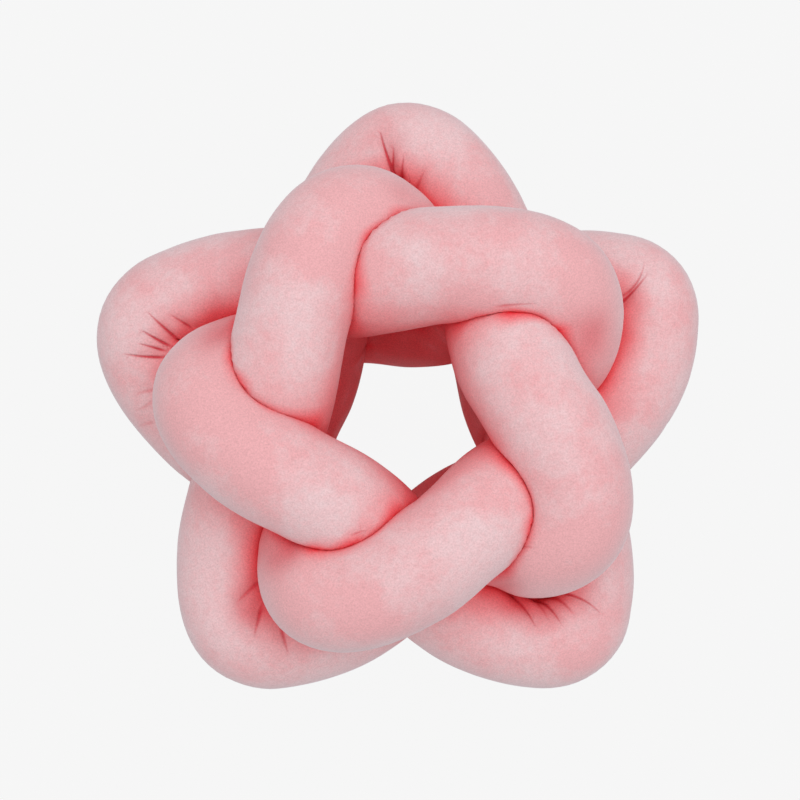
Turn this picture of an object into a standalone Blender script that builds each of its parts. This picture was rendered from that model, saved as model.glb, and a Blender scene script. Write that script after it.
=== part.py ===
"""Knot cushion: one long stuffed velvet tube tied in a thick five-pointed star with an open middle.

Metres, +Z up. The cushion lies on its back on z = 0, its weight flattening it a little where it touches.
The strand has no loose end. It makes five like passes, one to each point of the star. A pass rises
beside the opening, lies along the face, dives under the next pass, turns round a point of the star and
then does the same on the back, upside down. Where strands press on each other they flatten, and each
section swells elsewhere to keep its area.
"""

import math

import bpy
import numpy as np
from mathutils.bvhtree import BVHTree

TUBE_DIAMETER = 0.0670  # of the stuffed tube where nothing presses on it
FIRST_TURN = 162.0  # degrees from +X to where the first pass starts, beside the upper left point
PASS_TURN = 288.0  # degrees round the star that one pass goes, which is four fifths of the way
GAP = 0.0022  # left between strands that press on each other
EASE = 0.0003  # how far a face that still crosses another is drawn back at a time
MOST_EASES = 60
SETTLED = 0.004  # how far the back is flattened by the surface that it lies on
MOST_SWELL = 1.07  # how much wider than the tube a pressed section gets
PRESS_POWER = 9.0  # how crisply a strand turns from round to flat where it is pressed

SECTIONS_PER_STEP = 3  # along the strand, for each row of a pass
POINTS_PER_SECTION = 16

# The first half of a pass, from the middle level to the tip of its star point. The other half repeats it
# upside down. Each row: degrees on from the start of the pass, distance from the middle, height above
# the middle level.
HALF_PASS = (
    # turn, out, up
    (0.0, 0.0960, 0.000),
    (2.0, 0.0990, 0.026),
    (8.0, 0.1110, 0.047),
    (19.0, 0.1165, 0.062),
    (37.0, 0.0975, 0.073),
    (60.0, 0.0795, 0.073),
    (88.0, 0.0790, 0.055),
    (108.0, 0.0995, 0.024),
    (131.0, 0.1500, 0.006),
    (144.0, 0.1705, 0.000),
)

# How far each pass strays from the others, as the strand was pulled through by hand. At its rise and its
# star point: millimetres out from the middle and degrees round. On its run across the face: millimetres
# out. Where it dives: millimetres up. Full: how thick the tube is stuffed on that run.
STRAYS = (
    # rise, rise_turn, run, dive, point, point_turn, full
    (5.0, -2.5, -3.0, -8.0, 0.5, 0.5, 0.98),
    (4.5, 0.0, 4.0, 0.0, 0.5, -0.5, 1.00),
    (1.5, 2.5, 9.5, 0.0, 7.0, -1.0, 1.03),
    (5.5, 0.0, -5.5, 2.0, 3.0, 0.0, 1.02),
    (7.0, -5.5, 5.0, -10.0, 2.0, 8.0, 0.97),
)
STRAY_TURNS = (0.0, 16.0, 65.0, 110.0, 144.0, 190.0)  # where along a pass these strays are

VELVET = (0.80, 0.40, 0.43, 1.0)


def pass_rows():
    """All rows of one pass: the half pass, then the same turned over about the line out to its point."""
    back = [(PASS_TURN - turn, out, -up) for turn, out, up in HALF_PASS[-2:0:-1]]
    return list(HALF_PASS) + back


def route():
    """The strand's middle line, as the rows of all five passes one after another, and how full each is."""
    rows = []
    full = []
    for number, (rise, rise_turn, run, dive, point, point_turn, stuffed) in enumerate(STRAYS):
        start = FIRST_TURN + number * PASS_TURN
        for turn, out, up in pass_rows():
            out += 0.001 * np.interp(turn, STRAY_TURNS, (0.0, rise, run, run / 2, point, 0.0))
            full.append(np.interp(turn, STRAY_TURNS, (1.0, stuffed, stuffed, stuffed, 1.0, 1.0)))
            up += 0.001 * np.interp(turn, STRAY_TURNS, (0.0, 0.0, 0.0, dive, 0.0, 0.0))
            turn += np.interp(turn, STRAY_TURNS, (0.0, rise_turn, 0.0, 0.0, point_turn, 0.0))
            angle = math.radians(start + turn)
            rows.append((out * math.cos(angle), out * math.sin(angle), up))
    return np.array(rows), np.array(full)


def smooth_loop(rows, per_row):
    """Points on a smooth closed curve through the rows, per_row for each row, and its unit tangents."""
    count = len(rows)
    step = np.linalg.norm(np.roll(rows, -1, 0) - rows, axis=1) ** 0.5
    before = np.roll(step, 1)
    rise = (np.roll(rows, -1, 0) - rows) / step[:, None]
    system = np.zeros((count, count))
    for i in range(count):
        system[i, i - 1] = before[i]
        system[i, i] = 2.0 * (before[i] + step[i])
        system[i, (i + 1) % count] = step[i]
    bend = np.linalg.solve(system, 6.0 * (rise - np.roll(rise, 1, 0)))
    t = np.arange(per_row)[None, :, None] / per_row
    h = step[:, None, None]
    a, b = rows[:, None], np.roll(rows, -1, 0)[:, None]
    m, n = bend[:, None], np.roll(bend, -1, 0)[:, None]
    curve = (1 - t) * a + t * b + h * h / 6 * (((1 - t) ** 3 - (1 - t)) * m + (t**3 - t) * n)
    slope = (b - a) / h + h / 6 * ((1 - 3 * (1 - t) ** 2) * m + (3 * t**2 - 1) * n)
    slope = slope.reshape(-1, 3)
    return curve.reshape(-1, 3), slope / np.linalg.norm(slope, axis=1)[:, None]


def section_axes(tangents):
    """Two axes across the strand at each point, carried along it with no twist but what closes the loop."""
    count = len(tangents)
    side = np.cross(tangents[0], (0.0, 0.0, 1.0))
    side /= np.linalg.norm(side)
    sides = [side]
    for k in range(1, count + 1):
        side = side - tangents[k % count] * side.dot(tangents[k % count])
        side /= np.linalg.norm(side)
        sides.append(side)
    first, last = sides[0], sides.pop()
    twist = math.atan2(np.cross(first, last).dot(tangents[0]), first.dot(last))
    sides = np.array(sides)
    others = np.cross(tangents, sides)
    turn = (-twist * np.arange(count) / count)[:, None]
    return (
        sides * np.cos(turn) + others * np.sin(turn),
        others * np.cos(turn) - sides * np.sin(turn),
    )


def reach(centres, outward, gap):
    """How far each section can go along each of its outward directions before it meets another strand.

    A point belongs to the strand whose middle line is nearest, so strands meet half way between them.
    """
    length = np.linalg.norm(np.roll(centres, -1, 0) - centres, axis=1)
    along = np.concatenate([[0.0], np.cumsum(length)[:-1]])
    limits = np.full(outward.shape[:2], np.inf)
    for i in range(len(centres)):
        offset = centres - centres[i]
        distance = (offset**2).sum(1)
        apart = np.abs(along - along[i])
        apart = np.minimum(apart, length.sum() - apart)
        clear = gap * np.clip(apart / TUBE_DIAMETER - 0.9, 0.0, 1.0)
        near = (distance < (3.0 * TUBE_DIAMETER) ** 2) & (distance > 0)
        toward = outward[i] @ offset[near].T + clear[near]
        room = (distance[near] - clear[near] ** 2) / (2.0 * np.maximum(toward, 1e-6))
        limits[i] = room.min(1)
    return limits


def strand(centres, tangents, free, around, gap):
    """Rings of points round the strand, pressed where it meets itself and swollen to keep their area."""
    side, other = section_axes(tangents)
    angle = np.linspace(0.0, 2.0 * math.pi, around, endpoint=False)
    outward = (
        side[:, None] * np.cos(angle)[None, :, None] + other[:, None] * np.sin(angle)[None, :, None]
    )
    limits = reach(centres, outward, gap)
    radius = free
    for _ in range(12):
        pressed = (radius**-PRESS_POWER + limits**-PRESS_POWER) ** (-1.0 / PRESS_POWER)
        area = (pressed**2).mean(1, keepdims=True)
        radius = radius * (free / np.sqrt(area)) ** 0.7
        radius = np.minimum(radius, MOST_SWELL * free)
        radius = (np.roll(radius, 1, 0) + 2 * radius + np.roll(radius, -1, 0)) / 4
    return centres[:, None] + outward * pressed[:, :, None]


def settle(rings):
    """Sets the cushion down on z = 0, flat where it touches, with its outline centred on the origin."""
    rings = rings.copy()
    floor = rings[:, :, 2].min() + SETTLED
    rings[:, :, 2] = np.maximum(rings[:, :, 2], floor) - floor
    low, high = rings.min((0, 1)), rings.max((0, 1))
    rings[:, :, :2] -= ((low + high) / 2)[:2]
    return rings


def tube_faces(count, around):
    """The three-sided faces of a tube whose last ring joins its first."""
    here = np.arange(count * around).reshape(count, around)
    beside = np.roll(here, -1, 1)
    after = np.roll(here, -1, 0)
    across = np.roll(beside, -1, 0)
    halves = (here, beside, across), (here, across, after)
    return np.concatenate([np.stack(half, -1).reshape(-1, 3) for half in halves])


def crossing_points(vertices, faces):
    """The vertices of faces that cut through others they share no corner with."""
    tree = BVHTree.FromPolygons(vertices.tolist(), faces.tolist(), all_triangles=True)
    pairs = np.array(tree.overlap(tree), int).reshape(-1, 2)
    first, second = faces[pairs[:, 0]], faces[pairs[:, 1]]
    joined = (first[:, :, None] == second[:, None, :]).any((1, 2))
    return np.unique(first[~joined])


def ease_apart(rings, centres):
    """Draws crossing faces back towards the middle of their strand, a little at a time, until none cross."""
    faces = tube_faces(*rings.shape[:2])
    inward = centres[:, None] - rings
    inward = (inward / np.linalg.norm(inward, axis=2)[:, :, None]).reshape(-1, 3)
    vertices = rings.reshape(-1, 3).copy()
    for _ in range(MOST_EASES):
        crossing = crossing_points(vertices, faces)
        if not len(crossing):
            return vertices.reshape(rings.shape)
        vertices[crossing] += EASE * inward[crossing]
    raise RuntimeError("the strands still cross each other")


def clear_scene():
    for thing in list(bpy.data.objects):
        bpy.data.objects.remove(thing, do_unlink=True)


def velvet():
    material = bpy.data.materials.new("velvet")
    material.use_nodes = True
    shader = material.node_tree.nodes["Principled BSDF"]
    shader.inputs["Base Color"].default_value = VELVET
    shader.inputs["Roughness"].default_value = 0.9
    shader.inputs["Metallic"].default_value = 0.0
    return material


def knot_tube(collection):
    rows, full = route()
    centres, tangents = smooth_loop(rows, SECTIONS_PER_STEP)
    free = np.repeat(full, SECTIONS_PER_STEP)[:, None] * TUBE_DIAMETER / 2
    rings = strand(centres, tangents, free, POINTS_PER_SECTION, GAP)
    rings = settle(ease_apart(rings, centres))
    mesh = bpy.data.meshes.new("knot_tube")
    mesh.from_pydata(rings.reshape(-1, 3).tolist(), [], tube_faces(*rings.shape[:2]).tolist())
    mesh.materials.append(velvet())
    mesh.shade_smooth()
    tube = bpy.data.objects.new("knot_tube", mesh)
    collection.objects.link(tube)
    return tube


def main():
    clear_scene()
    collection = bpy.data.collections.new("knot_cushion")
    bpy.context.scene.collection.children.link(collection)
    knot_tube(collection)


if __name__ == "__main__":
    main()
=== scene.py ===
"""Knot cushion: a stuffed velvet tube tied in a thick five-pointed star, on a pale floor in soft light.

The tube's soft shape is built round the same route as the cushion's frame, in metres, +Z up, and its two
ends are joined out of sight, so it has no loose end.
"""

import math

import bpy
import numpy as np
from bpy.props import FloatProperty, FloatVectorProperty, IntProperty, PointerProperty
from bpy.types import Operator, Panel, PropertyGroup
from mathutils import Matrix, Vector, noise
from mathutils.bvhtree import BVHTree


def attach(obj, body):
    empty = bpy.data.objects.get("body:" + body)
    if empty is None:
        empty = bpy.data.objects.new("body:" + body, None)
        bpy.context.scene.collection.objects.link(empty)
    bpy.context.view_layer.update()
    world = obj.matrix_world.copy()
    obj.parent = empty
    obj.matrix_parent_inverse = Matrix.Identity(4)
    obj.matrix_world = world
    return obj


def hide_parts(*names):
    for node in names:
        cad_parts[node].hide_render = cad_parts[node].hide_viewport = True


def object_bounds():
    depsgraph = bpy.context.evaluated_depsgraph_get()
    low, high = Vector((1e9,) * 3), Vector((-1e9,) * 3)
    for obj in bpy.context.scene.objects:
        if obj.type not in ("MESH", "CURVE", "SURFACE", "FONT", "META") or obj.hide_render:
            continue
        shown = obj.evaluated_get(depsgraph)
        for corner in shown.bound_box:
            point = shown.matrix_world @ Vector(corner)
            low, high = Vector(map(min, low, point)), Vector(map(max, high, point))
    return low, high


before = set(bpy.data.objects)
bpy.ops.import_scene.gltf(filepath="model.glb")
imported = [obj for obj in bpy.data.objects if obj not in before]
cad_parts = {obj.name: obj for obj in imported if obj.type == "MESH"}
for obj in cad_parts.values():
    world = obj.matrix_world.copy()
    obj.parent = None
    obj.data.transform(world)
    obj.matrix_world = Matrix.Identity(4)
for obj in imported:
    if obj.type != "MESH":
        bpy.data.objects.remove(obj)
CAD_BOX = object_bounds()

bl_info = {
    "name": "Knot Cushion",
    "version": (1, 0, 0),
    "blender": (4, 5, 0),
    "location": "3D View > Sidebar > Cushion",
    "description": "Makes a star knot cushion from one stuffed velvet tube",
    "category": "Add Mesh",
}

TUBE_NODE = "knot_tube"

# ---------------------------------------------------------------- the strand's route through the knot

PASS_TURN = 288.0  # degrees round the star that one pass goes
FIRST_TURN = 162.0  # degrees from +X to where the first pass starts, beside the upper left point
ROUTE_DETAIL = 60  # points of the route for each row below

# The first half of a pass, from the middle level to the tip of its star point. The other half repeats it
# upside down. Each row: degrees on from the start of the pass, metres out from the middle, metres up.
HALF_PASS = (
    # turn, out, up
    (0.0, 0.0960, 0.000),
    (2.0, 0.0990, 0.026),
    (8.0, 0.1110, 0.047),
    (19.0, 0.1165, 0.062),
    (37.0, 0.0975, 0.073),
    (60.0, 0.0795, 0.073),
    (88.0, 0.0790, 0.055),
    (108.0, 0.0995, 0.024),
    (131.0, 0.1500, 0.006),
    (144.0, 0.1705, 0.000),
)

# How far each pass strays from the others, as the strand was pulled through by hand. At its rise and its
# star point: millimetres out from the middle and degrees round. On its run across the face: millimetres
# out. Where it dives: millimetres up. Full: how thick the tube is stuffed on that run.
STRAYS = (
    # rise, rise_turn, run, dive, point, point_turn, full
    (5.0, -2.5, -3.0, -8.0, 0.5, 0.5, 0.98),
    (4.5, 0.0, 4.0, 0.0, 0.5, -0.5, 1.00),
    (1.5, 2.5, 9.5, 0.0, 7.0, -1.0, 1.03),
    (5.5, 0.0, -5.5, 2.0, 3.0, 0.0, 1.02),
    (7.0, -5.5, 5.0, -10.0, 2.0, 8.0, 0.97),
)
STRAY_TURNS = (0.0, 16.0, 65.0, 110.0, 144.0, 190.0)  # where along a pass these strays are


def pass_rows():
    """All rows of one pass: the half pass, then the same turned over about the line out to its point."""
    back = [(PASS_TURN - turn, out, -up) for turn, out, up in HALF_PASS[-2:0:-1]]
    return list(HALF_PASS) + back


def route():
    """The strand's middle line as rows of x, y and up, how full each is, and how many passes on it is."""
    rows = []
    full = []
    passes = []
    for number, (rise, rise_turn, run, dive, point, point_turn, stuffed) in enumerate(STRAYS):
        start = FIRST_TURN + number * PASS_TURN
        for turn, out, up in pass_rows():
            passes.append(number + turn / PASS_TURN)
            out += 0.001 * np.interp(turn, STRAY_TURNS, (0.0, rise, run, run / 2, point, 0.0))
            full.append(np.interp(turn, STRAY_TURNS, (1.0, stuffed, stuffed, stuffed, 1.0, 1.0)))
            up += 0.001 * np.interp(turn, STRAY_TURNS, (0.0, 0.0, 0.0, dive, 0.0, 0.0))
            turn += np.interp(turn, STRAY_TURNS, (0.0, rise_turn, 0.0, 0.0, point_turn, 0.0))
            angle = math.radians(start + turn)
            rows.append((out * math.cos(angle), out * math.sin(angle), up))
    return np.array(rows), np.array(full), np.array(passes)


def smooth_loop(rows, per_row):
    """Points on a smooth closed curve through the rows, per_row for each row, and its unit tangents."""
    count = len(rows)
    step = np.linalg.norm(np.roll(rows, -1, 0) - rows, axis=1) ** 0.5
    before = np.roll(step, 1)
    rise = (np.roll(rows, -1, 0) - rows) / step[:, None]
    system = np.zeros((count, count))
    for i in range(count):
        system[i, i - 1] = before[i]
        system[i, i] = 2.0 * (before[i] + step[i])
        system[i, (i + 1) % count] = step[i]
    bend = np.linalg.solve(system, 6.0 * (rise - np.roll(rise, 1, 0)))
    t = np.arange(per_row)[None, :, None] / per_row
    h = step[:, None, None]
    a, b = rows[:, None], np.roll(rows, -1, 0)[:, None]
    m, n = bend[:, None], np.roll(bend, -1, 0)[:, None]
    curve = (1 - t) * a + t * b + h * h / 6 * (((1 - t) ** 3 - (1 - t)) * m + (t**3 - t) * n)
    slope = (b - a) / h + h / 6 * ((1 - 3 * (1 - t) ** 2) * m + (3 * t**2 - 1) * n)
    slope = slope.reshape(-1, 3)
    return curve.reshape(-1, 3), slope / np.linalg.norm(slope, axis=1)[:, None]


# ---------------------------------------------------------------- the stuffed tube

SWELL_ROUNDS = 12  # times that the swelling of the pressed sections is worked out anew
SWELL_SHARE = 0.7  # of the swelling still missing, added each time
SWELL_BLUR = 2  # rings either way that the swelling is evened out over
CURL_BLUR = 12  # rings either way that the direction of the bend is evened out over
MOST_NEAR = 3.0  # tube diameters, past which a strand is too far away to press
OWN_LENGTH = 0.9  # tube diameters along the strand, within which it doesn't press on itself


def rings_along(curve, full, passes, sizes):
    """Where the rings go: close together where the strand bends sharply and further apart elsewhere."""
    step = np.linalg.norm(np.roll(curve, -1, 0) - curve, axis=1)
    tangent = np.roll(curve, -1, 0) - np.roll(curve, 1, 0)
    tangent /= np.linalg.norm(tangent, axis=1)[:, None]
    bend = np.linalg.norm(np.roll(tangent, -1, 0) - np.roll(tangent, 1, 0), axis=1) / (2.0 * step)
    bend = loop_blur(np.clip(bend * sizes.tube_diameter, 0.0, 1.0), ROUTE_DETAIL)
    along = np.concatenate([[0.0], np.cumsum(step * (1.0 + sizes.closer * bend**2))])
    at = np.linspace(0.0, along[-1], sizes.rings, endpoint=False)
    columns = np.column_stack([curve, tangent, full, bend])
    columns = np.vstack([columns, columns[:1]])
    picked = np.column_stack([np.interp(at, along, column) for column in columns.T])
    centres, tangents, full, bend = picked[:, :3], picked[:, 3:6], picked[:, 6:7], picked[:, 7:8]
    passes = np.interp(at, along, np.append(passes, float(len(STRAYS))))
    return centres, tangents / np.linalg.norm(tangents, axis=1)[:, None], full, bend, passes


def loop_blur(values, reach):
    """Evens values out along the loop, over about the given number of places each way."""
    for _ in range(3):
        total = np.cumsum(np.concatenate([values[-reach:], values, values[:reach]]))
        values = (total[2 * reach :] - np.concatenate([[0.0], total[: -2 * reach - 1]]))[: len(values)]
        values = values / (2 * reach + 1)
    return values


def section_axes(tangents):
    """Two axes across the strand at each point, carried along it with no twist but what closes the loop."""
    count = len(tangents)
    side = np.cross(tangents[0], (0.0, 0.0, 1.0))
    side /= np.linalg.norm(side)
    sides = [side]
    for k in range(1, count + 1):
        side = side - tangents[k % count] * side.dot(tangents[k % count])
        side /= np.linalg.norm(side)
        sides.append(side)
    first, last = sides[0], sides.pop()
    twist = math.atan2(np.cross(first, last).dot(tangents[0]), first.dot(last))
    sides = np.array(sides)
    others = np.cross(tangents, sides)
    turn = (-twist * np.arange(count) / count)[:, None]
    return (
        sides * np.cos(turn) + others * np.sin(turn),
        others * np.cos(turn) - sides * np.sin(turn),
    )


def reach(centres, outward, gap, diameter):
    """How far each section can go along each of its outward directions before it meets another strand."""
    length = np.linalg.norm(np.roll(centres, -1, 0) - centres, axis=1)
    along = np.concatenate([[0.0], np.cumsum(length)[:-1]])
    limits = np.full(outward.shape[:2], np.inf)
    for i in range(len(centres)):
        offset = centres - centres[i]
        distance = (offset**2).sum(1)
        apart = np.abs(along - along[i])
        apart = np.minimum(apart, length.sum() - apart)
        clear = gap * np.clip(apart / diameter - OWN_LENGTH, 0.0, 1.0)
        near = (distance < (MOST_NEAR * diameter) ** 2) & (distance > 0)
        near &= (apart < diameter) | (np.arange(len(centres)) % 2 == 0)
        toward = outward[i] @ offset[near].T + clear[near]
        room = (distance[near] - clear[near] ** 2) / (2.0 * np.maximum(toward, 1e-6))
        limits[i] = room.min(1)
    return limits


def press(limits, free, sizes):
    """The radius in each direction, pressed where strands meet and swollen to keep each section's area."""
    radius = free
    power = sizes.crispness
    for _ in range(SWELL_ROUNDS):
        pressed = (radius**-power + limits**-power) ** (-1.0 / power)
        area = (pressed**2).mean(1, keepdims=True)
        radius = radius * (free / np.sqrt(area)) ** SWELL_SHARE
        radius = np.clip(radius, None, sizes.most_swell * free)
        radius = loop_blur(radius[:, 0], SWELL_BLUR)[:, None]
    return pressed


# Creases that the tight turns pull into the face, seen from above: the pass that each is on and how many
# degrees on from its start; where it starts and ends, in millimetres out from the middle along the line to
# that pass's point and to the left of that line; and in millimetres too, how far it bows to the left, its
# half width and its depth.
CREASES = (
    # number, turn, out0, left0, out1, left1, bow, wide, deep
    (2, 135, 152, -9, 163, -12, 0.0, 1.8, 3.0),
    (2, 140, 160, -1, 177, -9, 0.3, 2.0, 3.9),
    (2, 145, 163, 6, 178, 3, 0.3, 2.0, 4.2),
    (2, 147, 164, 11, 177, 12, 0.0, 1.8, 3.6),
    (2, 149, 165, 17, 185, 21, 0.6, 2.0, 3.9),
    (2, 153, 161, 38, 170, 43, 0.0, 2.8, 1.5),
    (2, 155, 160, 47, 168, 53, 0.5, 2.4, 1.0),
    (2, 157, 157, 58, 165, 62, 0.0, 2.6, 0.9),
    (3, 146, 156, 9, 185, 18, 1.0, 2.2, 5.1),
    (3, 146, 159, 9, 173, 9, 0.0, 1.8, 3.6),
    (3, 142, 150, 4, 166, 2, 0.0, 2.0, 3.6),
    (3, 135, 146, -6, 155, -11, 0.0, 2.4, 2.4),
    (4, 145, 146, 22, 174, 36, -0.8, 2.2, 4.8),
    (4, 147, 160, 30, 176, 46, -2.0, 1.6, 2.4),
    (1, 134, 146, -12, 161, -15, 0.0, 3.0, 2.7),
    (1, 143, 157, 1, 171, 6, 0.0, 2.6, 3.0),
    (1, 150, 159, 19, 168, 30, 0.0, 2.6, 2.7),
    (0, 133, 131, -13, 158, -15, 1.5, 2.0, 4.2),
    (0, 135, 140, -4, 160, -6, 1.0, 2.0, 2.1),
    (0, 139, 142, -2, 166, -1, 1.5, 2.0, 4.2),
    (0, 144, 147, 5, 165, 9, 1.5, 2.6, 3.3),
    (0, 147, 148, 9, 177, 24, 3.5, 2.0, 3.9),
    (2, 31, -40, -73, -56, -80, 0.0, 1.5, 1.8),
    (3, 12, -76, -66, -77, -73, 0.0, 1.5, 1.8),
    (3, 12, -86, -68, -87, -76, 0.0, 1.5, 1.5),
    (0, 75, 46, -70, 48, -63, 0.0, 1.5, 1.8),
)
# Soft hollows where a strand is pinched, mostly where it comes up from under its neighbour, each also
# painted with shade in the creases' colour: the pass that each is on and how many degrees on from its
# start; where it is, as for the creases; how wide it is either way in millimetres; and how strong.
PINCHES = (
    # number, turn, out, left, wide, share
    (0, 12, -105, -73, 12, 0.6),
    (0, 9, -106, -64, 9, 0.6),
    (1, 11, -107, -79, 10, 0.4),
    (2, 9, -96, -68, 12, 0.8),
    (2, 12, -97, -81, 12, 0.6),
    (2, 13, -81, -74, 8, 0.4),
    (3, 6, -113, -57, 11, 0.9),
    (4, 10, -94, -59, 10, 0.8),
    (4, 10, -108, -62, 12, 0.8),
    (0, 129, 135, -16, 9, 0.5),
    (0, 135, 147, -6, 12, 0.4),
    (0, 149, 162, 22, 10, 0.3),
    (1, 136, 158, -11, 11, 0.6),
    (1, 141, 165, -2, 11, 0.5),
    (2, 125, 134, -22, 10, 0.5),
    (3, 145, 169, 9, 8, 0.4),
    (3, 146, 179, 14, 12, 0.5),
    (4, 143, 158, 24, 8, 0.4),
)
PINCH_DEPTH = 0.0035  # of the strongest hollow
POINT_TURN = 144.0  # how far along a pass its star point is
FACE_EDGE = 0.8  # how strong the creases of the face or of the back still are on an upright side
FACE_LEAN = 0.3  # how far it leans, as a sine, for their strength to change by 1
TAPER = 0.6  # how gradually a crease gets shallower towards its end
ROOT = 1.4  # above 1, a crease is at its full depth from its start on
ROOT_FADE = 0.4  # how far behind its start its strength falls by 1, in its lengths
LIP = 0.3  # how high a crease's lips stand, as a share of its depth
LIP_AWAY = 2.2  # how far out they are, in half widths of its trough
TROUGH_WIDER = 1.5  # a crease is a thin line at the bottom of a soft trough this much wider
TROUGH_SHARE = 0.6  # and this share of its depth
CREASE_LAYERS = 3  # neighbouring creases take turns in these, so that their lines stay apart
FADE = 35.0  # degrees of turn either way from a crease's own within which it shows
BACK_SHIFT = 2  # the back has the creases of the star point this many on
# How much deeper the nap's colour is along a pass, most where it rises and dives at the middle level:
# degrees on from the start of the pass, and the share.
DEEPER_NAP_ALONG = (
    # turn, share
    (0.0, 0.8),
    (12.0, 0.9),
    (30.0, 0.45),
    (60.0, 0.1),
    (90.0, 0.15),
    (120.0, 0.25),
    (144.0, 0.2),
    (170.0, 0.25),
    (198.0, 0.15),
    (228.0, 0.1),
    (258.0, 0.45),
    (276.0, 0.9),
    (288.0, 0.8),
)
# The lumps, the folds and the shelter are worked out for every so many points each way, and filled in
# between.
LUMP_STEP = 4
CLOTH_STEP = 2
RIPPLE = 0.0006  # how far the skin's unevenness stands out or in before it folds
RIPPLE_SIZE = 0.008  # how far apart its ripples are
SLACKEST = 1.6  # above 1, the velvet is already free to fold before the sharpest of a bend
SHELTER_STEP = 3
SHELTER_RAYS = 24  # cast from each point
SHELTER_REACH = 0.11  # how near another strand must be to shut a point in
SHELTER_LIFT = 0.0015  # rays start this far off the surface


def from_point(number, turn, points, passes, back):
    """Which rings are near a place on a pass, and where their points are in its star point's millimetres.

    The places are out from the middle along the line to the point, and to the left of that line. Seen from
    below, the back has the places of the face, on the pass that is BACK_SHIFT on.
    """
    count = len(STRAYS)
    if back:
        number, turn = (number + BACK_SHIFT) % count, PASS_TURN - turn
    away = np.abs(passes - (number + turn / PASS_TURN)) * PASS_TURN
    here = np.where(np.minimum(away, PASS_TURN * count - away) < FADE)[0]
    line = math.radians(FIRST_TURN + number * PASS_TURN + POINT_TURN)
    out = points[here, :, 0] * math.cos(line) + points[here, :, 1] * math.sin(line)
    left = points[here, :, 1] * math.cos(line) - points[here, :, 0] * math.sin(line)
    return here, np.stack([out, -left if back else left], -1) * 1000.0


def add_creases(creases, points, upward, passes, back):
    """Adds the creases of the face or of the back: the trough of each, and its thin line in one layer."""
    facing = np.clip((-upward if back else upward) / FACE_LEAN + FACE_EDGE, 0.0, 1.0)
    for place, (number, turn, out0, left0, out1, left1, bow, wide, deep) in enumerate(CREASES):
        here, offset = from_point(number, turn, points, passes, back)
        offset = offset - (out0, left0)
        chord = np.array((out1 - out0, left1 - left0), float)
        t = offset @ chord / chord.dot(chord)
        across = offset @ np.array((-chord[1], chord[0])) / math.hypot(*chord) - 4.0 * bow * t * (1.0 - t)
        ahead = np.clip(1.0 - t, 0.0, 1.0)
        across /= wide * (0.5 + 0.5 * ahead)
        strength = deep * ahead**TAPER * np.clip(ROOT + t / ROOT_FADE, 0.0, 1.0) * facing[here]
        wider = np.abs(across) / TROUGH_WIDER
        trough = np.exp(-(wider**2)) - LIP * np.exp(-((wider - LIP_AWAY) ** 2))
        creases["trough"][here] += 0.001 * TROUGH_SHARE * strength * trough
        strength = strength * np.clip(2.0 - np.abs(across) / 2.0, 0.0, 1.0)
        layer = place % CREASE_LAYERS
        stronger = strength > creases["line"][layer, here]
        creases["line"][layer, here] = np.where(stronger, strength, creases["line"][layer, here])
        creases["across"][layer, here] = np.where(stronger, across, creases["across"][layer, here])
    for number, turn, out, left, wide, share in PINCHES:
        here, offset = from_point(number, turn, points, passes, back)
        near = np.exp(-(((offset - (out, left)) / wide) ** 2).sum(-1)) * facing[here]
        creases["pinch"][here] += share * near
        creases["trough"][here] += PINCH_DEPTH * share * near


def lumps(points, size):
    """Soft unevenness of the stuffing at each point, from -1 to 1."""
    coarse = points[::LUMP_STEP] / size
    values = np.array([[noise.noise(Vector(point)) for point in ring[::LUMP_STEP]] for ring in coarse])
    return fill_between(values, points.shape[:2], LUMP_STEP)


def fill_between(values, shape, step):
    """Spreads values known at every step-th place of a closed grid over all its places."""
    for axis in (0, 1):
        values = np.concatenate([values, values.take([0], axis)], axis)
        known = np.append(np.arange(0, shape[axis], step), shape[axis])
        wanted = np.arange(shape[axis])
        values = np.apply_along_axis(lambda row: np.interp(wanted, known, row), axis, values)
    return values


def shelter(rings, outward):
    """How much of the space over each point is shut in by other strands, from 0 (open) to 1."""
    step = SHELTER_STEP
    tree = BVHTree.FromPolygons(
        rings[::step, ::step].reshape(-1, 3).tolist(),
        tube_faces(*rings[::step, ::step].shape[:2]).tolist(),
    )
    golden = math.pi * (3.0 - math.sqrt(5.0))
    rays = np.arange(SHELTER_RAYS) + 0.5
    rise = np.sqrt(1.0 - rays / SHELTER_RAYS)
    wide = np.sqrt(rays / SHELTER_RAYS)
    rays = np.stack([wide * np.cos(golden * rays), wide * np.sin(golden * rays), rise], -1)
    shut = np.zeros(rings[::step, ::step].shape[:2])
    for i, (ring, aims) in enumerate(zip(rings[::step, ::step], outward[::step, ::step])):
        for j, (point, aim_out) in enumerate(zip(ring, aims)):
            turned = Vector((0.0, 0.0, 1.0)).rotation_difference(Vector(aim_out)).to_matrix()
            start = Vector(point + SHELTER_LIFT * aim_out)
            ways = rays @ np.array(turned).T
            hits = sum(tree.ray_cast(start, Vector(way), SHELTER_REACH)[0] is not None for way in ways)
            shut[i, j] = hits / SHELTER_RAYS
    return fill_between(shut, rings.shape[:2], step)


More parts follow.
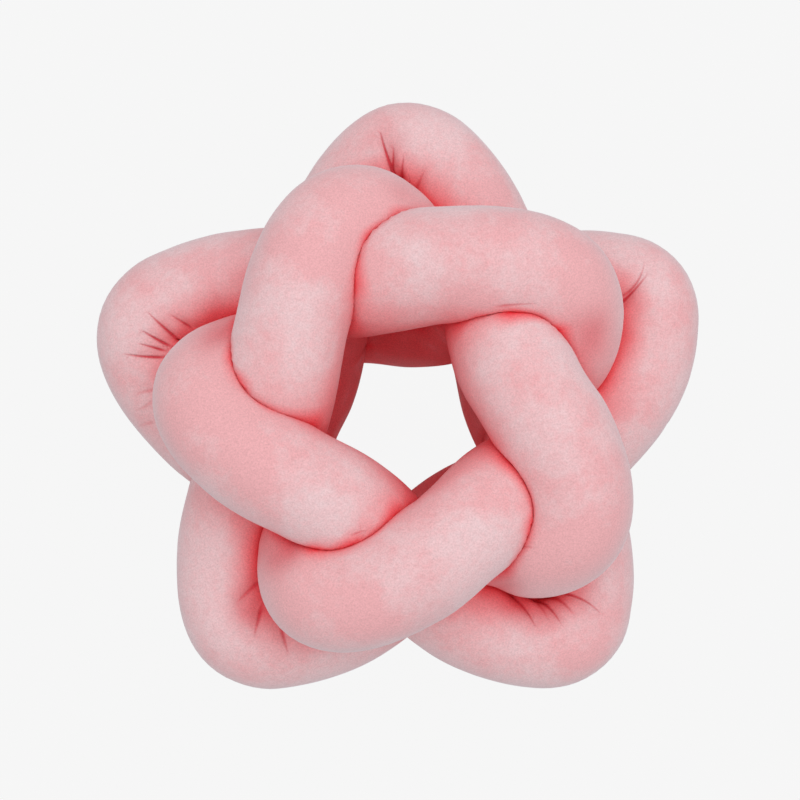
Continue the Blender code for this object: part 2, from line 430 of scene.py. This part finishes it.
def cloth_folds(points, outward, slack, sizes):
    """How far the velvet folds out or in at the tight turns, found by cloth simulation.

    The tube's skin is filled with air pressure and held where it is pulled smooth. On the inside of each
    bend it is let go and given more length than the bend has room for, so that it folds by itself,
    started off by the filling's slight unevenness.
    """
    step = CLOTH_STEP
    outward, slack = outward[::step, ::step], slack[::step, ::step]
    start = points[::step, ::step]
    ripple = np.array([[noise.noise(Vector(point)) for point in ring] for ring in start / RIPPLE_SIZE])
    start = start + RIPPLE * (ripple * slack)[:, :, None] * outward
    mesh = bpy.data.meshes.new("skin")
    mesh.from_pydata(start.reshape(-1, 3).tolist(), [], tube_faces(*start.shape[:2]).tolist())
    skin = bpy.data.objects.new("skin", mesh)
    bpy.context.scene.collection.objects.link(skin)
    held, loose = skin.vertex_groups.new(name="held"), skin.vertex_groups.new(name="loose")
    for i, share in enumerate(slack.ravel().tolist()):
        held.add([i], 1.0 - share, "REPLACE")
        loose.add([i], share, "REPLACE")
    cloth = skin.modifiers.new("cloth", "CLOTH")
    cloth.settings.quality = 5
    cloth.settings.mass = 0.02
    cloth.settings.tension_stiffness = 8.0
    cloth.settings.compression_stiffness = 8.0
    cloth.settings.shear_stiffness = 8.0
    cloth.settings.bending_stiffness = 0.005
    cloth.settings.vertex_group_mass = "held"
    cloth.settings.pin_stiffness = 0.1
    cloth.settings.vertex_group_shrink = "loose"
    cloth.settings.shrink_min = 0.0
    cloth.settings.shrink_max = -sizes.excess
    cloth.settings.use_pressure = True
    cloth.settings.uniform_pressure_force = sizes.pressure
    cloth.settings.effector_weights.gravity = 0.0
    cloth.collision_settings.use_collision = False
    cloth.point_cache.frame_start = 1
    cloth.point_cache.frame_end = sizes.cloth_frames
    scene = bpy.context.scene
    for number in range(1, sizes.cloth_frames + 1):
        scene.frame_set(number)
    done = skin.evaluated_get(bpy.context.evaluated_depsgraph_get()).to_mesh()
    end = np.empty(len(done.vertices) * 3, np.float32)
    done.vertices.foreach_get("co", end)
    moved = ((end.reshape(start.shape) - start) * outward).sum(2)
    bpy.data.objects.remove(skin, do_unlink=True)
    bpy.data.meshes.remove(mesh)
    scene.frame_set(1)
    if not np.isfinite(moved).all():
        raise RuntimeError("the cloth simulation came apart")
    return fill_between(np.clip(moved, -sizes.most_fold, sizes.most_fold), points.shape[:2], step)


def settle(rings, settled):
    """Sets the cushion down on z = 0, flat where it touches, over the middle of its CAD box."""
    rings = rings.copy()
    floor = rings[:, :, 2].min() + settled
    rings[:, :, 2] = np.maximum(rings[:, :, 2], floor) - floor
    low, high = rings.min((0, 1)), rings.max((0, 1))
    middle = (np.array(CAD_BOX[0]) + np.array(CAD_BOX[1])) / 2
    rings[:, :, :2] += (middle - (low + high) / 2)[:2]
    return rings


def tube_faces(count, around):
    """The four-sided faces of a tube whose last ring joins its first."""
    here = np.arange(count * around).reshape(count, around)
    beside = np.roll(here, -1, 1)
    return np.stack([here, beside, np.roll(beside, -1, 0), np.roll(here, -1, 0)], -1).reshape(-1, 4)


def outward_directions(centres, tangents, bend, sizes):
    """Unit directions from each ring's middle to its points, and to the inside of the strand's bend.

    The points are closer together on the inside of a bend.
    """
    side, other = section_axes(tangents)
    curl = np.roll(tangents, -1, 0) - np.roll(tangents, 1, 0)
    curl = np.stack([(curl * side).sum(1), (curl * other).sum(1)])
    curl = np.stack([loop_blur(row, CURL_BLUR) for row in curl / np.linalg.norm(curl, axis=0)])
    inside = np.arctan2(curl[1], curl[0])[:, None]
    even = np.linspace(0.0, 2.0 * math.pi, sizes.around, endpoint=False)[None, :]
    angle = even - sizes.crowd * bend * np.sin(even - inside)
    outward = side[:, None] * np.cos(angle)[:, :, None] + other[:, None] * np.sin(angle)[:, :, None]
    return outward, side * np.cos(inside) + other * np.sin(inside)


def build_tube(sizes):
    rows, full, passes = route()
    curve, _ = smooth_loop(rows, ROUTE_DETAIL)
    full = loop_blur(np.repeat(full, ROUTE_DETAIL), ROUTE_DETAIL)
    steps = np.arange(len(curve)) / ROUTE_DETAIL
    passes = np.interp(steps, np.arange(len(rows) + 1), np.append(passes, float(len(STRAYS))))
    centres, tangents, full, bend, passes = rings_along(curve, full, passes, sizes)
    outward, inside = outward_directions(centres, tangents, bend, sizes)
    limits = reach(centres, outward, -sizes.mesh_in, sizes.tube_diameter)
    free = full * sizes.tube_diameter / 2
    radius = press(limits, free, sizes)
    points = centres[:, None] + outward * radius[:, :, None]
    layers = (CREASE_LAYERS, *radius.shape)
    creases = {"trough": np.zeros(radius.shape), "line": np.zeros(layers), "across": np.zeros(layers)}
    creases["pinch"] = np.zeros(radius.shape)
    for back in (False, True):
        add_creases(creases, points, outward[:, :, 2], passes, back)
    bare = np.clip(limits / free - 1.0, 0.0, 1.0)
    uneven = sizes.lump * lumps(points, sizes.lump_size) * bare
    shift = uneven - creases["trough"]
    inner = 0.5 + 0.5 * (outward * inside[:, None]).sum(2)
    slack = np.clip(SLACKEST * bend * inner, 0.0, 1.0) ** 2
    points = points - outward * creases["trough"][:, :, None]
    folds = cloth_folds(points, outward, slack, sizes)
    shift = uneven + np.minimum(folds, limits - radius)
    rings = settle(points + outward * shift[:, :, None], sizes.settled)
    mesh = bpy.data.meshes.new("stuffed_tube")
    mesh.from_pydata(rings.reshape(-1, 3).tolist(), [], tube_faces(*rings.shape[:2]).tolist())
    mesh.shade_smooth()
    for layer in range(CREASE_LAYERS):
        add_values(mesh, f"crease_line_{layer}", creases["line"][layer])
        add_values(mesh, f"crease_across_{layer}", creases["across"][layer])
    add_values(mesh, "pinch", np.clip(creases["pinch"], 0.0, 1.0))
    add_values(mesh, "sideways", 1.0 - np.abs(outward[:, :, 2]))
    add_values(mesh, "shelter", shelter(rings, outward))
    turn = passes % 1.0 * PASS_TURN
    add_values(mesh, "deeper_nap_along", np.repeat(np.interp(turn, *zip(*DEEPER_NAP_ALONG)), sizes.around))
    tube = bpy.data.objects.new("stuffed_tube", mesh)
    bpy.context.scene.collection.objects.link(tube)
    return tube


def add_values(mesh, name, values):
    """Keeps one number for each point of a mesh, for its material to use."""
    attribute = mesh.attributes.new(name, "FLOAT", "POINT")
    attribute.data.foreach_set("value", np.ascontiguousarray(values, np.float32).ravel())


# ---------------------------------------------------------------- velvet

LINE_NARROWER = 4.5  # how much more quickly a crease's thin line fades than its half width squared
# Each crease's thin line is painted with shade in the crease shade colour, besides being bumped in.
LINE_FULL = 3.2  # how strong a crease's line is where it has its whole colour
NAP_PATCHES = 17.0  # noise scales, for each metre: the patches that the nap is brushed into,
NAP_FLECKS = 240.0  # its small flecks
PILE_GRAIN = 950.0  # and the grain of the single tufts
# Painted shade: a pinched hollow takes this share of the creases' shade colour.
PINCH_SHADE = 0.5  # how far a pinched hollow has the colour of a crease


class Nodes:
    """Short ways to add shader nodes and link them up."""

    def __init__(self, material):
        material.use_nodes = True
        self.tree = material.node_tree
        self.shader = self.tree.nodes["Principled BSDF"]

    def add(self, kind, **inputs):
        node = self.tree.nodes.new(kind)
        for name, value in inputs.items():
            self.set(node.inputs[name.replace("_", " ")], value)
        return node

    def set(self, socket, value):
        if isinstance(value, bpy.types.NodeSocket):
            self.tree.links.new(value, socket)
        elif isinstance(value, bpy.types.Node):
            self.tree.links.new(value.outputs[0], socket)
        else:
            socket.default_value = value

    def noise(self, place, scale, detail=2.0, roughness=0.5):
        return self.add(
            "ShaderNodeTexNoise", Vector=place, Scale=scale, Detail=detail, Roughness=roughness
        ).outputs["Fac"]

    def spread(self, value, low, high, out_low=0.0, out_high=1.0):
        """Maps low..high to out_low..out_high, held at the ends."""
        node = self.add("ShaderNodeMapRange", Value=value)
        node.inputs["From Min"].default_value = low
        node.inputs["From Max"].default_value = high
        node.inputs["To Min"].default_value = out_low
        node.inputs["To Max"].default_value = out_high
        return node.outputs["Result"]

    def mix(self, factor, first, second, blend="MIX"):
        node = self.tree.nodes.new("ShaderNodeMix")
        node.data_type = "RGBA"
        node.blend_type = blend
        colours = [socket for socket in node.inputs if socket.type == "RGBA"]
        self.set(node.inputs[0], factor)
        self.set(colours[0], first)
        self.set(colours[1], second)
        return next(socket for socket in node.outputs if socket.type == "RGBA")

    def math(self, operation, first, second):
        node = self.tree.nodes.new("ShaderNodeMath")
        node.operation = operation
        self.set(node.inputs[0], first)
        self.set(node.inputs[1], second)
        return node.outputs[0]

    def value_of(self, name):
        node = self.tree.nodes.new("ShaderNodeAttribute")
        node.attribute_name = name
        return node.outputs["Fac"]


def crease_lines(nodes):
    """The creases' thin lines, each as deep as its strength and fading to either side."""
    total = 0.0
    for layer in range(CREASE_LAYERS):
        across = nodes.value_of(f"crease_across_{layer}")
        falling = nodes.math("MULTIPLY", nodes.math("MULTIPLY", across, across), -LINE_NARROWER)
        line = nodes.math("EXPONENT", falling, 0.0)
        line = nodes.math("MULTIPLY", line, nodes.value_of(f"crease_line_{layer}"))
        total = nodes.math("ADD", line, total)
    return total


def velvet(look):
    material = bpy.data.materials.new("pink_velvet")
    nodes = Nodes(material)
    place = nodes.tree.nodes.new("ShaderNodeTexCoord").outputs["Object"]

    brushed = nodes.spread(nodes.noise(place, NAP_PATCHES, 4.0, 0.6), 0.42, 0.64, 0.0, 0.8)
    flecks = nodes.spread(nodes.noise(place, NAP_FLECKS, 3.0, 0.6), 0.35, 0.7, 0.0, 0.3)
    # The nap's random patches and flecks, plus how much deeper its colour is along each pass.
    nap = nodes.math("ADD", nodes.math("ADD", brushed, flecks), nodes.value_of("deeper_nap_along"))
    colour = nodes.mix(nap, (*look.light, 1.0), (*look.deep, 1.0))
    # shelter is the ray-cast share of the space over a point that other strands shut in; below it masks the
    # painted shade.
    shelter = nodes.value_of("shelter")
    in_the_open = nodes.spread(shelter, 0.05, 0.3, 1.0, 0.0)
    sheen_painted_side = nodes.math("MULTIPLY", nodes.value_of("sideways"), in_the_open)
    # Painted sheen: the open sides, where the surface faces level, are mixed towards a pale grey pink that
    # stands in for the pile's bloom in grazing light.
    colour = nodes.mix(nodes.spread(sheen_painted_side, 0.25, 0.95, 0.0, 0.7), colour, (*look.pale, 1.0))
    creased = crease_lines(nodes)
    crease_shade_mask = nodes.spread(creased, 0.0, LINE_FULL, 0.0, 0.9)
    # Painted shade: where other strands shut a point in, its colour turns a saturated red pink, in place of
    # the shade and the red light bounced between strands.
    colour = nodes.mix(nodes.spread(shelter, 0.18, 0.62), colour, (*look.painted_shade, 1.0))
    # Painted shade in the pinched hollows, in the creases' shade colour.
    pinched = nodes.math("MULTIPLY", nodes.value_of("pinch"), PINCH_SHADE)
    colour = nodes.mix(pinched, colour, (*look.crease_shade_colour, 1.0))
    # Painted deep shade: deep between strands that press together the colour turns almost pure red, in
    # place of the dark shade there.
    colour = nodes.mix(nodes.spread(shelter, 0.6, 0.95), colour, (*look.fold, 1.0))
    # Painted shade: each crease's thin line is coloured dark red, standing in for the shade in the crease.
    colour = nodes.mix(crease_shade_mask, colour, (*look.crease_shade_colour, 1.0))
    pile = nodes.noise(place, PILE_GRAIN, 3.0, 0.6)
    grain = nodes.spread(pile, 0.3, 0.7, 0.86, 1.1)
    grained = nodes.add("ShaderNodeVectorMath")
    grained.operation = "SCALE"
    nodes.set(grained.inputs[0], colour)
    nodes.set(grained.inputs["Scale"], grain)
    nodes.set(nodes.shader.inputs["Base Color"], grained.outputs[0])

    lines = nodes.add("ShaderNodeBump", Strength=1.0, Distance=look.crease, Height=creased)
    lines.invert = True
    bump = nodes.add("ShaderNodeBump", Strength=0.5, Distance=look.pile, Height=pile, Normal=lines)
    nodes.set(nodes.shader.inputs["Normal"], bump)
    nodes.shader.inputs["Roughness"].default_value = 0.85
    nodes.shader.inputs["Specular IOR Level"].default_value = 0.15
    nodes.set(nodes.shader.inputs["Sheen Weight"], nodes.spread(shelter, 0.1, 0.6, look.sheen, 0.0))
    nodes.shader.inputs["Sheen Roughness"].default_value = look.sheen_roughness
    nodes.shader.inputs["Sheen Tint"].default_value = (*look.sheen_tint, 1.0)
    return material


# ---------------------------------------------------------------- settings


class CushionSizes(PropertyGroup):
    tube_diameter: FloatProperty(
        name="Tube Diameter",
        description="Thickness of the stuffed tube where nothing presses on it",
        default=0.067,
        min=0.02,
        unit="LENGTH",
    )
    mesh_in: FloatProperty(
        name="Mesh In",
        description="How far the piles of strands that press on each other sink into one another",
        default=0.0005,
        min=0.0,
        unit="LENGTH",
    )
    settled: FloatProperty(
        name="Settled",
        description="How far the back is flattened by the surface it lies on",
        default=0.004,
        min=0.0,
        unit="LENGTH",
    )
    most_swell: FloatProperty(
        name="Most Swell",
        description="How much wider than the tube a pressed section gets",
        default=1.07,
        min=1.0,
    )
    crispness: FloatProperty(
        name="Crispness",
        description="How sharply a strand turns from round to flat where it is pressed",
        default=32.0,
        min=2.0,
    )
    rings: IntProperty(
        name="Rings", description="Sections along the strand", default=1240, min=180
    )
    around: IntProperty(
        name="Points Around", description="Points in each section", default=80, min=12
    )
    lump: FloatProperty(
        name="Lump",
        description="How far the stuffing's soft unevenness stands out or in",
        default=0.0012,
        min=0.0,
        unit="LENGTH",
    )
    lump_size: FloatProperty(
        name="Lump Size",
        description="How far apart the lumps of the stuffing are",
        default=0.035,
        min=0.005,
        unit="LENGTH",
    )
    excess: FloatProperty(
        name="Excess",
        description="How much more length the velvet has than the inside of a bend has room for",
        default=0.8,
        min=0.0,
    )
    pressure: FloatProperty(
        name="Pressure",
        description="How hard the filling presses outwards while the velvet folds",
        default=30.0,
        min=0.0,
    )
    most_fold: FloatProperty(
        name="Most Fold",
        description="How far a fold may stand out or in",
        default=0.003,
        min=0.0,
        unit="LENGTH",
    )
    cloth_frames: IntProperty(
        name="Cloth Frames", description="Frames that the cloth simulation runs for", default=14, min=2
    )
    closer: FloatProperty(
        name="Closer",
        description="How much closer together the sections are where the strand bends sharply",
        default=7.0,
        min=0.0,
    )
    crowd: FloatProperty(
        name="Crowd",
        description="How much closer together a section's points are on the inside of a bend",
        default=0.5,
        min=0.0,
        max=0.8,
    )


class VelvetLook(PropertyGroup):
    light: FloatVectorProperty(
        name="Light Nap",
        description="Colour where the pile is brushed up",
        subtype="COLOR",
        default=(0.84, 0.62, 0.64),
    )
    # Also the colour that each pass deepens towards along its length, most where it rises and dives at the
    # middle level.
    deep: FloatVectorProperty(
        name="Deep Nap",
        description="Colour where the pile is brushed down",
        subtype="COLOR",
        default=(0.85, 0.44, 0.46),
    )
    # Painted sheen: the pale grey pink painted on the open sides, in place of the pile's bloom in grazing
    # light.
    pale: FloatVectorProperty(
        name="Pale Nap",
        description="Colour of the pile's tips on the open sides",
        subtype="COLOR",
        default=(0.78, 0.63, 0.66),
    )
    crease: FloatProperty(
        name="Crease", description="Depth of a crease's thin line", default=0.00022, min=0.0, unit="LENGTH"
    )
    # Painted shade: the colour put on pile that other strands shut in, standing in for the shade and
    # bounced red light there.
    painted_shade: FloatVectorProperty(
        name="Tucked Nap",
        description="Colour of the sheltered pile beside another strand",
        subtype="COLOR",
        default=(0.92, 0.21, 0.23),
    )
    # Painted shade: the dark red painted along the creases' thin lines.
    crease_shade_colour: FloatVectorProperty(
        name="Crease Colour",
        description="Colour of the creases' thin lines",
        subtype="COLOR",
        default=(0.70, 0.04, 0.06),
    )
    # Painted deep shade: the colour painted deep between strands that press together.
    fold: FloatVectorProperty(
        name="Fold",
        description="Colour deep between strands that press together",
        subtype="COLOR",
        default=(0.93, 0.05, 0.07),
    )
    sheen_tint: FloatVectorProperty(
        name="Sheen Tint",
        description="Colour of the bloom on the pile's tips",
        subtype="COLOR",
        default=(0.86, 0.86, 0.90),
    )
    sheen: FloatProperty(
        name="Sheen", description="Strength of the pile's bloom", default=0.55, min=0.0, max=1.0
    )
    sheen_roughness: FloatProperty(
        name="Sheen Roughness",
        description="How far the bloom spreads in from the edges",
        default=0.4,
        min=0.0,
        max=1.0,
    )
    pile: FloatProperty(
        name="Pile", description="Depth of the pile's grain", default=0.0006, min=0.0, unit="LENGTH"
    )


class StudioSetup(PropertyGroup):
    camera_distance: FloatProperty(
        name="Camera Distance",
        description="From the camera to the middle of the cushion",
        default=1.0,
        min=0.3,
        unit="LENGTH",
    )
    camera_elevation: FloatProperty(
        name="Camera Elevation",
        description="Angle of the camera above the floor",
        default=math.radians(84.3),
        subtype="ANGLE",
        unit="ROTATION",
    )
    lens: FloatProperty(
        name="Lens", description="Focal length of the camera in millimetres", default=68.5, min=10.0
    )
    lamp: FloatProperty(
        name="Lamp", description="Power of the large lamp overhead", default=7.5, min=0.0, unit="POWER"
    )
    sky: FloatProperty(
        name="Sky", description="Strength of the even light all round", default=1.04, min=0.0
    )
    floor_light: FloatProperty(
        name="Floor Light",
        description="How much light comes back up from the floor, as a share of how bright it looks",
        default=0.55,
        min=0.0,
    )
    horizon: FloatProperty(
        name="Horizon",
        description="How bright the even light is level with the floor, as a share of it overhead",
        default=0.5,
        min=0.0,
    )
    floor: FloatVectorProperty(
        name="Floor", description="Colour of the floor", subtype="COLOR", default=(0.913, 0.913, 0.913)
    )


# ---------------------------------------------------------------- operators

FLOOR_WIDTH = 8.0
FLOOR_CLEAR = 0.0002  # how far below the cushion the floor is, so that they don't touch
FLOOR_TINT = (0.01, 0.01, 0.01, 1.0)  # what the floor throws back of the light that falls on it
LAMP_WIDTH = 1.6
LAMP_PLACE = (0.55, 0.6, 1.9)
SENSOR_WIDTH = 36.0  # millimetres
AIM_BESIDE = (0.0016, -0.0059, 0.0)  # from the middle of the cushion to where the camera aims


class CUSHION_OT_tube(Operator):
    """Make the stuffed velvet tube that is tied in the knot"""

    bl_idname = "cushion.tube"
    bl_label = "Stuffed Tube"

    def execute(self, context):
        tube = build_tube(context.scene.cushion_sizes)
        tube.data.materials.append(velvet(context.scene.velvet_look))
        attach(tube, "root")
        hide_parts(TUBE_NODE)
        return {"FINISHED"}


class CUSHION_OT_studio(Operator):
    """Set up the pale floor, the soft light and the camera"""

    bl_idname = "cushion.studio"
    bl_label = "Studio"

    def execute(self, context):
        scene = context.scene
        setup = scene.studio_setup
        low, high = np.array(CAD_BOX[0]), np.array(CAD_BOX[1])
        middle = (low + high) / 2
        floor = pale_floor(setup, low[2])
        scene.collection.objects.link(floor)
        scene.collection.objects.link(overhead_lamp(setup, middle))
        scene.world = sky(setup)
        scene.camera = camera_over(setup, middle)
        scene.collection.objects.link(scene.camera)
        scene.view_settings.view_transform = "Standard"
        return {"FINISHED"}


def pale_floor(setup, level):
    mesh = bpy.data.meshes.new("floor")
    half = FLOOR_WIDTH / 2
    corners = [(-half, -half, 0), (half, -half, 0), (half, half, 0), (-half, half, 0)]
    mesh.from_pydata(corners, [], [(0, 1, 2, 3)])
    mesh.materials.append(floor_material(setup))
    floor = bpy.data.objects.new("floor", mesh)
    floor.location = (0.0, 0.0, level - FLOOR_CLEAR)
    return floor


def overhead_lamp(setup, target):
    data = bpy.data.lights.new("overhead_lamp", "AREA")
    data.shape = "DISK"
    data.size = LAMP_WIDTH
    data.energy = setup.lamp
    lamp = bpy.data.objects.new("overhead_lamp", data)
    lamp.location = LAMP_PLACE
    aim(lamp, target)
    return lamp


def camera_over(setup, middle):
    """The camera, above the cushion's face and a little towards its lower points."""
    data = bpy.data.cameras.new("camera")
    data.lens = setup.lens
    data.sensor_width = SENSOR_WIDTH
    camera = bpy.data.objects.new("camera", data)
    tilt = setup.camera_elevation
    target = middle + np.array(AIM_BESIDE)
    back = np.array((0.0, -math.cos(tilt), math.sin(tilt)))
    camera.location = target + setup.camera_distance * back
    aim(camera, target)
    return camera


def aim(thing, target):
    """Turns a lamp or camera to face the target."""
    away = np.array(thing.location) - np.array(target)
    across = math.hypot(away[0], away[1])
    thing.rotation_euler = (
        math.atan2(across, away[2]),
        0.0,
        math.atan2(away[0], -away[1]) if across > 1e-9 else 0.0,
    )


def floor_material(setup):
    material = bpy.data.materials.new("floor")
    nodes = Nodes(material)
    seen = nodes.tree.nodes.new("ShaderNodeLightPath").outputs["Is Camera Ray"]
    glow = nodes.spread(seen, 0.0, 1.0, setup.floor_light, 1.0)
    nodes.shader.inputs["Base Color"].default_value = FLOOR_TINT
    nodes.shader.inputs["Roughness"].default_value = 1.0
    nodes.shader.inputs["Specular IOR Level"].default_value = 0.0
    nodes.shader.inputs["Emission Color"].default_value = (*setup.floor, 1.0)
    nodes.set(nodes.shader.inputs["Emission Strength"], glow)
    return material


def sky(setup):
    """Even light, dimmer level with the floor, that looks like the floor where it shows behind."""
    world = bpy.data.worlds.new("sky")
    world.use_nodes = True
    tree = world.node_tree
    way = tree.nodes.new("ShaderNodeSeparateXYZ")
    tree.links.new(tree.nodes.new("ShaderNodeTexCoord").outputs["Generated"], way.inputs[0])
    height = tree.nodes.new("ShaderNodeMapRange")
    height.inputs["To Min"].default_value = setup.horizon * setup.sky
    height.inputs["To Max"].default_value = setup.sky
    tree.links.new(way.outputs["Z"], height.inputs["Value"])
    backdrop = tree.nodes.new("ShaderNodeBackground")
    backdrop.inputs["Color"].default_value = (*setup.floor, 1.0)
    pick = tree.nodes.new("ShaderNodeMixShader")
    tree.links.new(tree.nodes.new("ShaderNodeLightPath").outputs["Is Camera Ray"], pick.inputs[0])
    light = tree.nodes["Background"]
    light.inputs["Color"].default_value = (1.0, 1.0, 1.0, 1.0)
    tree.links.new(height.outputs["Result"], light.inputs["Strength"])
    tree.links.new(light.outputs[0], pick.inputs[1])
    tree.links.new(backdrop.outputs[0], pick.inputs[2])
    tree.links.new(pick.outputs[0], tree.nodes["World Output"].inputs["Surface"])
    return world


class CUSHION_PT_panel(Panel):
    bl_label = "Knot Cushion"
    bl_idname = "CUSHION_PT_panel"
    bl_space_type = "VIEW_3D"
    bl_region_type = "UI"
    bl_category = "Cushion"

    def draw(self, context):
        scene = context.scene
        for operator, settings in (
            (CUSHION_OT_tube, (scene.cushion_sizes, scene.velvet_look)),
            (CUSHION_OT_studio, (scene.studio_setup,)),
        ):
            box = self.layout.box()
            box.operator(operator.bl_idname)
            for group in settings:
                for name in group.bl_rna.properties.keys():
                    if name not in {"rna_type", "name"}:
                        box.prop(group, name)


CLASSES = (
    CushionSizes,
    VelvetLook,
    StudioSetup,
    CUSHION_OT_tube,
    CUSHION_OT_studio,
    CUSHION_PT_panel,
)


def register():
    for cls in CLASSES:
        bpy.utils.register_class(cls)
    bpy.types.Scene.cushion_sizes = PointerProperty(type=CushionSizes)
    bpy.types.Scene.velvet_look = PointerProperty(type=VelvetLook)
    bpy.types.Scene.studio_setup = PointerProperty(type=StudioSetup)


def unregister():
    del bpy.types.Scene.studio_setup
    del bpy.types.Scene.velvet_look
    del bpy.types.Scene.cushion_sizes
    for cls in reversed(CLASSES):
        bpy.utils.unregister_class(cls)


def main():
    register()
    bpy.ops.cushion.tube()
    bpy.ops.cushion.studio()


if __name__ == "__main__":
    main()
